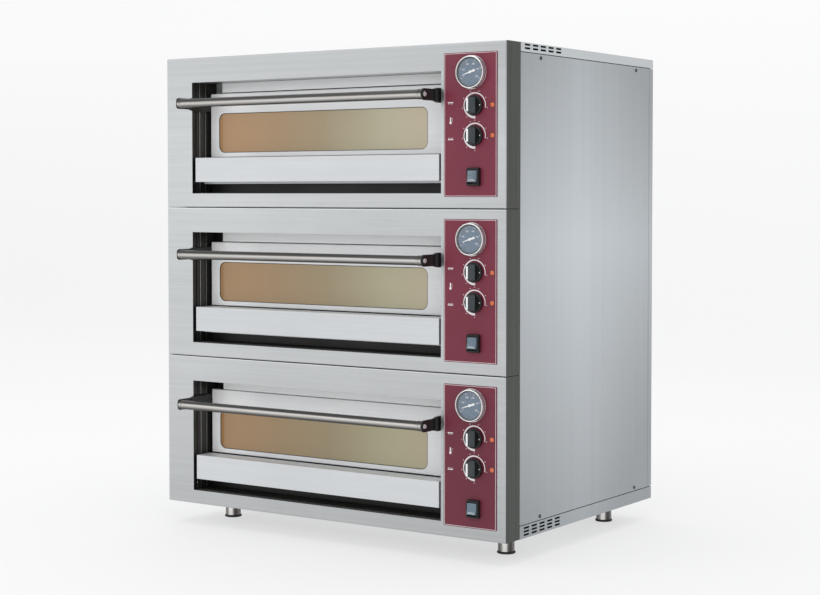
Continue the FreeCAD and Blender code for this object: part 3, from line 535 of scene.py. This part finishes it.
def make_thermometer_cases():
    """Polished rims and flanges on dark necks with a painted reflection of the plate, with the dials' backs
    behind the plate.
    """
    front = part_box("thermometer_cases")[0].y
    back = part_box("thermometer_cases")[1].y
    bright, necks, gaskets = bmesh.new(), bmesh.new(), bmesh.new()
    for deck in DECKS:
        centre = joint_at(f"{deck}_needle_turn")
        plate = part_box(f"{deck}_control_plate")[0].y
        spot = (centre.x, 0, centre.z)
        rim = [(30.0, front + 0.0058), (30.0, front + 0.0009), (30.6, front + 0.0002), (31.3, front),
               (32.2, front + 0.0004), (33.0, front + 0.0015), (33.0, front + 0.0048), (32.4, front + 0.0058),
               (30.0, front + 0.0058)]
        flange = [(30.0, plate - 0.0019), (34.0, plate - 0.0019), (34.5, plate - 0.0012), (34.5, plate),
                  (30.0, plate), (30.0, plate - 0.0019)]
        neck = [(0, plate - 0.0064), (30.1, plate - 0.0064), (30.1, front + 0.0050), (30.8, front + 0.0050),
                (30.8, plate - 0.0010), (28.0, plate), (28.0, back), (0, back)]
        gasket = [(28.6, front + 0.0050), (28.6, front + 0.0018), (29.2, front + 0.0012),
                  (30.2, front + 0.0012), (30.2, front + 0.0050), (28.6, front + 0.0050)]
        lathe(gaskets, spot, [(r * MM, y) for r, y in gasket], steps=96)
        lathe(bright, spot, [(r * MM, y) for r, y in rim], steps=96)
        lathe(bright, spot, [(r * MM, y) for r, y in flange], steps=96)
        lathe(necks, spot, [(r * MM, y) for r, y in neck], steps=96)
    piece = add_piece("thermometer_rims", bright, "chrome", "cabinet", 50)
    add_piece("thermometer_necks", necks, "neck", "cabinet")
    add_piece("thermometer_gaskets", gaskets, "gasket", "cabinet")
    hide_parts("thermometer_cases")


def make_thermometer_face(deck):
    """Blue grey dial with pale marks and figures."""
    centre = joint_at(f"{deck}_needle_turn")
    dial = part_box(f"{deck}_control_plate")[0].y - 6.5 * MM
    face = dial - PROUD
    bm = bmesh.new()
    lathe(bm, (centre.x, 0, centre.z), [(0, face), (28.8 * MM, face), (28.8 * MM, dial + 0.00005),
                                        (0, dial + 0.00005)], steps=72)
    add_piece(f"{deck}_thermometer_dial", bm, "dial", "cabinet")
    bm = bmesh.new()
    for index in range(26):
        angle = DIAL_START + DIAL_SWEEP * index / 25
        inner, half = (22.8, 1.2) if index % 5 == 0 else (24.6, 0.5)
        band(bm, (centre.x, 0, centre.z), inner * MM, 26.2 * MM, angle - half, angle + half, face - PROUD,
             face + 0.00005, 2)
    add_piece(f"{deck}_thermometer_marks", bm, "print", "cabinet")
    out = 17.6 * MM
    for index in range(6):
        angle = math.radians(DIAL_START + DIAL_SWEEP * index / 5)
        lettering(f"{deck}_thermometer_figure_{index}", str(index * 100), centre.x + out * math.sin(angle),
                  face, centre.z + out * math.cos(angle), 4.6 * MM, "cabinet")


def make_needle(deck):
    """White tapered pointer on a round hub."""
    node = f"{deck}_needle"
    low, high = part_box(node)
    centre = joint_at(f"{deck}_needle_turn")
    angle = math.radians(NEEDLE_ANGLE)
    along = Vector((math.cos(angle), math.sin(angle)))
    across = Vector((-along.y, along.x))
    origin = Vector((centre.x, centre.z))
    bm = bmesh.new()
    outline = [(-12.2, -2.5), (-12.2, 2.5), (0, 1.5), (20, 0.4), (20, -0.4), (0, -1.5)]
    prism(bm, [origin + along * a * MM + across * b * MM for a, b in outline], low.y + 0.0006, low.y + 0.0012)
    lathe(bm, (centre.x, 0, centre.z), [(0, low.y), (2.4 * MM, low.y + 0.0001), (3.0 * MM, low.y + 0.0006),
                                        (3.0 * MM, low.y + 0.0016), (0, low.y + 0.0016)], steps=32)
    lathe(bm, (centre.x, 0, centre.z), [(0, low.y + 0.0015), (1.0 * MM, low.y + 0.0015), (1.0 * MM, high.y),
                                        (0, high.y)], steps=24)
    piece = add_piece(f"{deck}_pointer", bm, "needle", f"{deck}_needle_turning")
    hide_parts(node)


def make_knob(deck, knob):
    """Black skirt with a rolled rim, a ribbed finger grip with a pale ridge line, and a pale dot."""
    node = f"{deck}_{knob}_knob"
    body = node + "_turning"
    low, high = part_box(node)
    centre = joint_at(f"{node}_turn")
    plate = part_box(f"{deck}_control_plate")[0].y
    back, face = plate - 0.001, plate - 0.008
    x, z = centre.x, centre.z
    radius = KNOB_RADIUS
    bm = bmesh.new()
    lathe(bm, (x, 0, z), [(0, back), (radius - 0.0005, back), (radius, back - 0.0006), (radius, face + 0.0028),
                          (radius - 0.0006, face + 0.0010), (radius - 0.0020, face),
                          (radius - 0.0055, face + 0.0004), (radius - 0.0075, face + 0.0010),
                          (0, face + 0.0010)], steps=96)
    lathe(bm, (x, 0, z), [(0, back), (3.0 * MM, back), (3.0 * MM, high.y), (0, high.y)], steps=24)
    skirt = add_piece(f"{node}_skirt", bm, "black", body, 40)
    bm = bmesh.new()
    root, ridge = 6.0 * MM, 2.3 * MM
    tall_root, tall_ridge = 16.8 * MM, 13.4 * MM
    ribs = 9
    levels = [(face + 0.0012, root, tall_root)]
    for index in range(ribs):
        share = (index + 0.5) / ribs
        y = face + (low.y + 0.0012 - face) * share
        half, tall = root + (ridge - root) * share, tall_root + (tall_ridge - tall_root) * share
        levels += [(y + 0.0005, half + 0.0002, tall), (y, half - 0.0002, tall),
                   (y - 0.0005, half + 0.0002, tall)]
    levels += [(low.y + 0.0009, ridge - 0.0001, 13.3 * MM), (low.y + 0.0004, ridge - 0.0005, 12.9 * MM)]
    rings = [[bm.verts.new((x + across, y, z + up))
              for across, up in rounded_outline(half, tall, min(half * 0.7, 0.003), 3)]
             for y, half, tall in levels]
    bridge(bm, rings)
    bm.faces.new(rings[0])
    bm.faces.new(list(reversed(rings[-1])))
    add_piece(f"{node}_grip", bm, "grip", body, 30)
    bm = bmesh.new()
    block(bm, (x - 0.0021, low.y, z - 12.8 * MM), (x + 0.0021, low.y + 0.0009, z + 12.8 * MM), 0.0002, 2)
    lathe(bm, (x + 16.6 * MM, 0, z), [(0, face + 0.0001), (0.0011, face + 0.0001), (0.0011, face + 0.0012),
                                      (0, face + 0.0012)], steps=16)
    add_piece(f"{node}_marks", bm, "needle", body)
    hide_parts(node)


def make_lamps():
    """Domed orange lenses, each in a slim dark ring."""
    low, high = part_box("indicator_lamps")
    x = (low.x + high.x) / 2
    domes, rings = bmesh.new(), bmesh.new()
    for deck in DECKS:
        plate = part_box(f"{deck}_control_plate")[0].y
        for knob in KNOBS:
            z = joint_at(f"{deck}_{knob}_knob_turn").z
            profile = [(0, low.y)]
            for index in range(1, 8):
                angle = math.radians(90 * index / 7)
                profile.append((5.3 * MM * math.sin(angle),
                                low.y + (plate - 0.0002 - low.y) * (1 - math.cos(angle))))
            profile += [(4.2 * MM, plate), (4.2 * MM, high.y), (0, high.y)]
            lathe(domes, (x, 0, z), profile, steps=40)
            lathe(rings, (x, 0, z), [(5.2 * MM, plate - 0.0008), (5.8 * MM, plate - 0.0011),
                                     (6.2 * MM, plate - 0.0006), (6.2 * MM, plate), (5.2 * MM, plate),
                                     (5.2 * MM, plate - 0.0008)], steps=40)
    piece = add_piece("pilot_lenses", domes, "orange", "cabinet", 60)
    add_piece("pilot_rings", rings, "grip", "cabinet")
    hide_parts("indicator_lamps")


def make_switches():
    """Black raised frames with soft edges round each rocker."""
    low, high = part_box("switch_frames")
    bm = bmesh.new()
    for deck in DECKS:
        z = joint_at(f"{deck}_rocker_tilt").z
        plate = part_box(f"{deck}_control_plate")[0].y
        half_w, half_h = (high.x - low.x) / 2, 18.5 * MM
        well_w, well_h = 11.4 * MM, 13.8 * MM
        x = (low.x + high.x) / 2
        levels = [(half_w, half_h, plate), (half_w, half_h, plate - 0.0035),
                  (half_w - 0.0006, half_h - 0.0006, low.y + 0.0012), (half_w - 0.0016, half_h - 0.0016, low.y),
                  (well_w + 0.0006, well_h + 0.0006, low.y), (well_w, well_h, low.y + 0.0008),
                  (well_w, well_h, plate + 0.010)]
        rings = []
        for w, h, y in levels:
            corner = 0.0025 if w > well_w + 0.001 else 0.0008
            rings.append([bm.verts.new((x + across, y, z + up))
                          for across, up in rounded_outline(w, h, corner, 4)])
        bridge(bm, rings)
        bm.faces.new(list(reversed(rings[0])))
        bm.faces.new(rings[-1])
    piece = add_piece("switch_surrounds", bm, "black", "cabinet", 40)
    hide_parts("switch_frames")


def make_rocker(deck):
    """Soft blue grey rocker cap, its upper half pressed in, with pale dots near the lower end."""
    node = f"{deck}_rocker"
    body = f"{deck}_rocker_tilting"
    axis = joint_at(f"{deck}_rocker_tilt")
    outline = [(7.0, -5.0), (-5.5, -12.0), (-8.9, -11.7), (-8.0, 0.0), (-8.9, 11.7), (-5.5, 12.0),
               (7.0, 5.0)]
    tilt = math.radians(-7)
    half = 11.0 * MM

    def turned(y, z):
        return (axis.y + (y * math.cos(tilt) - z * math.sin(tilt)) * MM,
                axis.z + (y * math.sin(tilt) + z * math.cos(tilt)) * MM)

    bm = bmesh.new()
    sides = [[bm.verts.new((x, *turned(y, z))) for y, z in outline] for x in (axis.x - half, axis.x + half)]
    bm.faces.new(sides[0])
    bm.faces.new(list(reversed(sides[1])))
    bridge(bm, sides)
    bmesh.ops.recalc_face_normals(bm, faces=bm.faces)
    bmesh.ops.bevel(bm, geom=list(bm.edges), offset=0.0009, segments=3, profile=0.5, affect="EDGES")
    pin_left, pin_right = axis.x - 13.4 * MM, axis.x + 13.4 * MM
    lathe(bm, (0, axis.y, axis.z), [(0, pin_left), (1.5 * MM, pin_left), (1.5 * MM, pin_right),
                                    (0, pin_right)], axis="x", steps=20)
    piece = add_piece(f"{deck}_rocker_cap", bm, "rocker", body, 40)
    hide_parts(node)
    bm = bmesh.new()
    for row, level in enumerate((-9.6, -7.4)):
        y, z = turned(-8.6, level)
        for index in range(5 - row):
            x = axis.x + (index * 3.6 - 7.2 + row * 1.8) * MM
            lathe(bm, (x, 0, z), [(0, y - 0.0002), (0.85 * MM, y - 0.0002), (0.85 * MM, y + 0.0010),
                                  (0, y + 0.0010)], steps=16)
    add_piece(f"{deck}_rocker_mark", bm, "needle", body)


# ------------------------------------------------------------------ doors
def make_handle(deck):
    """Round bar with grooved collars, between two flat black arms with cross-head screws."""
    body = f"{deck}_door"
    low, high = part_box(f"{deck}_handle_bar")
    y, z = (low.y + high.y) / 2, (low.z + high.z) / 2
    radius = 9.8 * MM
    end = 12.0 * MM
    bm = bmesh.new()
    lathe(bm, (0, y, z), [(0, low.x + end - 0.001), (radius, low.x + end - 0.001),
                          (radius, high.x - end + 0.001), (0, high.x - end + 0.001)], axis="x", steps=72)
    for start, inward in ((low.x, 1), (high.x, -1)):
        profile = [(0, 0), (9.6, 0), (10.3, 0.5), (10.45, 1.2), (10.45, 5.4), (10.2, 5.9), (9.5, 6.1),
                   (9.5, 6.9), (10.2, 7.1), (10.45, 7.6), (10.45, 11.0), (10.2, 11.7), (9.6, 12.0), (0, 12.0)]
        lathe(bm, (start, y, z), [(r * MM, inward * a * MM) for r, a in profile], axis="x", steps=72)
    bar = add_piece(f"{deck}_bar", bm, "handle", body)
    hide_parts(f"{deck}_handle_bar")

    low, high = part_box(f"{deck}_handle_arms")
    front = low.y
    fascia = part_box(f"{deck}_fascia")[0].y
    arms, screws = bmesh.new(), bmesh.new()
    nose, half, root_half = 6.8 * MM, 12.0 * MM, 15.0 * MM
    straight = [(fascia - 17 * MM, half), (fascia - 5 * MM, root_half), (high.y, root_half)]
    rounded = [(front + nose - nose * math.cos(math.radians(a)), half - nose + nose * math.sin(math.radians(a)))
               for a in range(0, 91, 15)]
    outline, root_outline = (upper + [(depth, -up) for depth, up in reversed(upper)]
                             for upper in (rounded + straight, straight))
    edge = 0.0004
    for outer, inward in ((low.x + 2.0 * MM, 1), (high.x - 2.0 * MM, -1)):
        for points, start, thick in ((outline, outer, 4 * MM), (root_outline, outer - inward * 2 * MM, 7 * MM)):
            loops = []
            for along, shrink in ((0, edge), (edge, 0), (thick - edge, 0), (thick, edge)):
                loops.append([arms.verts.new((start + inward * along,
                                              min(max(depth, front + shrink), high.y - shrink),
                                              z + up * (1 - shrink / half))) for depth, up in points])
            arms.faces.new(loops[0])
            arms.faces.new(list(reversed(loops[-1])))
            bridge(arms, loops)
        profile = [(0, 0.0004), (3.4, 0.0004), (3.8, 0.0014), (4.8, 0.0016), (5.4, 0.0010), (5.5, 0.0),
                   (5.5, -0.0008), (0, -0.0008)]
        lathe(screws, (outer, y, z), [(r * MM, -inward * a) for r, a in profile], axis="x", steps=40)
        xs = sorted((outer - inward * 0.0004, outer - inward * 0.0013))
        block(screws, (xs[0], y - 0.0030, z - 0.0006), (xs[1], y + 0.0030, z + 0.0006))
        block(screws, (xs[0], y - 0.0006, z - 0.0030), (xs[1], y + 0.0006, z + 0.0030))
    piece = add_piece(f"{deck}_arms", arms, "black", body, 40)
    add_piece(f"{deck}_arm_screws", screws, "chrome", body)
    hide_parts(f"{deck}_handle_arms")


def make_window_edge(deck):
    """Dark gasket line just inside the rounded window, in front of the pane."""
    glass_low, glass_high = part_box(f"{deck}_door_glass")
    panel_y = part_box(f"{deck}_door_panel")[0].y
    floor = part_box(f"{deck}_door_panel")[0].z - DOOR_BOTTOM
    middle_x = (glass_low.x + glass_high.x) / 2
    middle_z = floor + (WINDOW_BOTTOM + WINDOW_TOP) / 2
    half_width = (glass_high.x - glass_low.x) / 2 - GLASS_LAP
    half_height = (WINDOW_TOP - WINDOW_BOTTOM) / 2
    front, back = panel_y + 0.4 * MM, panel_y + 1.4 * MM
    bm = bmesh.new()
    loops = []
    for inset, y in ((0.0, front), (1.3 * MM, front), (1.3 * MM, back), (0.0, back)):
        outline = rounded_outline(half_width - inset, half_height - inset, WINDOW_CORNER - inset, 8)
        loops.append([bm.verts.new((middle_x + across, y, middle_z + up)) for across, up in outline])
    bridge(bm, loops + loops[:1])
    add_piece(f"{deck}_window_edge", bm, "gasket", f"{deck}_door")


# ------------------------------------------------------------------ cabinet
def make_screws():
    """Domed cross-head screws on the side panels."""
    low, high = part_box("panel_screws")
    panel_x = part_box("right_side_panel")[1].x
    head = 4.2 * MM
    profile = [(0, 0.0019), (1.6, 0.0021), (2.8, 0.0018), (3.7, 0.0011), (4.2, 0.0002), (4.2, -0.0004),
               (0, -0.0004)]
    heads, slots = bmesh.new(), bmesh.new()
    for side in (-1, 1):
        outer = side * panel_x
        xs = sorted((outer + side * 0.0008, outer + side * 0.00205))
        for y in (low.y + head, high.y - head):
            for z in (low.z + head, high.z - head):
                lathe(heads, (outer, y, z), [(r * MM, side * a) for r, a in profile], axis="x", steps=28)
                for half_y, half_z in ((0.0019, 0.00035), (0.00035, 0.0019)):
                    block(slots, (xs[0], y - half_y, z - half_z), (xs[1], y + half_y, z + half_z))
    piece = add_piece("side_screw_heads", heads, "screw", "cabinet", 60)
    add_piece("side_screw_slots", slots, "black", "cabinet")
    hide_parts("panel_screws")


def make_feet():
    """Rubber sole with a hollowed tread, and its stem, for each foot."""
    for place in ("front_left", "front_right", "rear_left", "rear_right"):
        node = f"{place}_foot"
        low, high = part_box(node)
        x, y = (low.x + high.x) / 2, (low.y + high.y) / 2
        radius, stem = (high.x - low.x) / 2, 6 * MM
        profile = [(0, 0.0006), (radius - 0.006, 0.0006), (radius - 0.0055, 0), (radius - 0.0016, 0),
                   (radius - 0.0004, 0.0006), (radius, 0.0016), (radius, 0.0034), (radius - 0.0006, 0.0044),
                   (radius - 0.0016, 0.0050), (stem, 0.0050), (stem, high.z - low.z), (0, high.z - low.z)]
        bm = bmesh.new()
        lathe(bm, (x, y, low.z), profile, axis="z", steps=56)
        piece = add_piece(f"{place}_sole", bm, "rubber", f"{place}_foot_adjusting")
        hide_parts(node)


def paint_nodes():
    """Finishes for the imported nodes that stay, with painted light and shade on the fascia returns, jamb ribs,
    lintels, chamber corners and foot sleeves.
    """
    fascia_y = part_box("upper_fascia")[0].y
    lintel_y, mouth_y, rib_y = fascia_y + 75 * MM, fascia_y + 84 * MM, fascia_y + 45 * MM
    jambs_low, jambs_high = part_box("door_surrounds")
    middle_x = (jambs_low.x + jambs_high.x) / 2
    rib_x = jambs_high.x - 1.6 * MM - middle_x
    sleeve_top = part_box("foot_mounts")[1].z - 12.2 * MM

    # Painted shade: faces turned sideways behind the front get the near-black return steel.
    def fascia_paint_with_shaded_returns(centre, normal):
        return "return" if abs(normal.x) > 0.86 and centre.y > fascia_y + MM else "fascia"

    # Painted highlight: the ribs' sideways faces near the front get the lighter rib steel; the rest keeps the
    # dark surround paint.
    def jamb_paint_with_rib_highlights(centre, normal):
        inner = abs(centre.x - middle_x) < rib_x and centre.y < rib_y
        return "rib" if inner and abs(normal.z) < 0.5 and abs(normal.y) < 0.5 else "surround"

    for deck in DECKS:
        for node, material in (("control_plate", "plate"), ("door_panel", "door"), ("door_glass", "window"),
                               ("door_liner", "chamber")):
            paint(f"{deck}_{node}", material)
        paint_faces(f"{deck}_fascia", ["fascia", "return"], fascia_paint_with_shaded_returns)
        # Painted light and shade: the chamber's front frame at the corners is light steel on the upper deck and
        # dark surround paint on the lower decks; the lintel in front of it gets the lighter lintel steel.
        corner = "frame" if deck == "upper" else "surround"
        paint_faces(f"{deck}_chamber", ["chamber", "lintel", corner],
                    lambda centre, normal: "lintel" if centre.y < lintel_y else
                    corner if centre.y < mouth_y else "chamber")
    paint_faces("door_surrounds", ["surround", "rib"], jamb_paint_with_rib_highlights)
    # Painted reflections on the foot sleeves below the mounts.
    paint_faces("foot_mounts", ["mount", "foot"],
                lambda centre, normal: "foot" if centre.z < sleeve_top else "mount")
    for node, material in (
            ("thermometer_lenses", "clear"), ("sill_panels", "sill"), ("baking_stones", "stone"),
            ("heating_elements", "element"), ("chamber_lamps", "frosted"), ("thermostats", "thermostat"),
            ("steam_flues", "flue"), ("insulation", "wool"), ("roof_cover", "roof"), ("base_tray", "panel"),
            ("left_side_panel", "panel"), ("right_side_panel", "panel"), ("back_panel", "panel"),
            ("cable_gland", "black")):
        paint(node, material)


# ------------------------------------------------------------------ studio
def make_stage():
    """Pale floor that curves up into a backdrop, with a little light of its own to keep shadows faint."""
    bm = bmesh.new()
    bend_y, bend = 3.0, 2.5
    profile = [(-9.0, 0.0), (bend_y, 0.0)]
    for index in range(1, 17):
        angle = math.radians(90 * index / 16)
        profile.append((bend_y + bend * math.sin(angle), bend * (1 - math.cos(angle))))
    profile.append((bend_y + bend, 9.0))
    bridge(bm, [[bm.verts.new((x, y, z)) for x in (-12.0, 12.0)] for y, z in profile], closed=False)
    mesh = bpy.data.meshes.new("studio_floor")
    bm.to_mesh(mesh)
    bm.free()
    mesh.shade_smooth()
    floor = bpy.data.objects.new("studio_floor", mesh)
    SCENE.collection.objects.link(floor)
    shader = Shader("studio_floor", (0.28, 0.28, 0.28), 0.85)
    shader.set("Emission Color", (1.0, 1.0, 1.0, 1.0))
    glow = shader.spread(shader.along("Z"), 0.605, 0.685, 0.0, 1.8)
    shader.link(glow, shader.surface.inputs["Emission Strength"])
    mesh.materials.append(shader.material)


def add_light(name, at, target, size, power, colour=(1.0, 1.0, 1.0)):
    """A soft rectangular light."""
    data = bpy.data.lights.new(name, "AREA")
    data.shape = "RECTANGLE"
    data.size, data.size_y = size
    data.energy = power
    data.color = colour
    light = bpy.data.objects.new(name, data)
    light.location = at
    light.rotation_euler = (Vector(target) - Vector(at)).to_track_quat("-Z", "Y").to_euler()
    SCENE.collection.objects.link(light)


def make_studio():
    """Even light all round, a key light from the left and a large one overhead."""
    world = bpy.data.worlds.new("studio")
    world.use_nodes = True
    background = world.node_tree.nodes["Background"]
    background.inputs["Color"].default_value = (0.975, 0.985, 1.0, 1.0)
    background.inputs["Strength"].default_value = 0.88
    SCENE.world = world
    SCENE.view_settings.view_transform = "Standard"
    add_light("key", (-3.2, -4.2, 2.8), (0, 0, 0.55), (3.2, 2.6), 28)
    add_light("top", (0, -0.4, 4.2), (0, 0, 0), (4.5, 4.5), 60)


def make_camera():
    """A low three-quarter view from the right, tilted down a little."""
    tilt_down, turn = 2.068, 34.211
    data = bpy.data.cameras.new("camera")
    data.lens = 76.43
    data.sensor_width = 36.0
    data.shift_y = -0.05
    camera = bpy.data.objects.new("camera", data)
    camera.location = (2.2401, -3.2849, 0.7516)
    camera.rotation_euler = (math.radians(90 - tilt_down), 0.0, math.radians(turn))
    SCENE.collection.objects.link(camera)
    SCENE.camera = camera


make_camera()
make_studio()
make_stage()
paint_nodes()
for deck_name in DECKS:
    make_prints(deck_name)
    make_thermometer_face(deck_name)
    make_needle(deck_name)
    for knob_name in KNOBS:
        make_knob(deck_name, knob_name)
    make_rocker(deck_name)
    make_handle(deck_name)
    make_window_edge(deck_name)
make_thermometer_cases()
make_lamps()
make_switches()
make_screws()
make_feet()
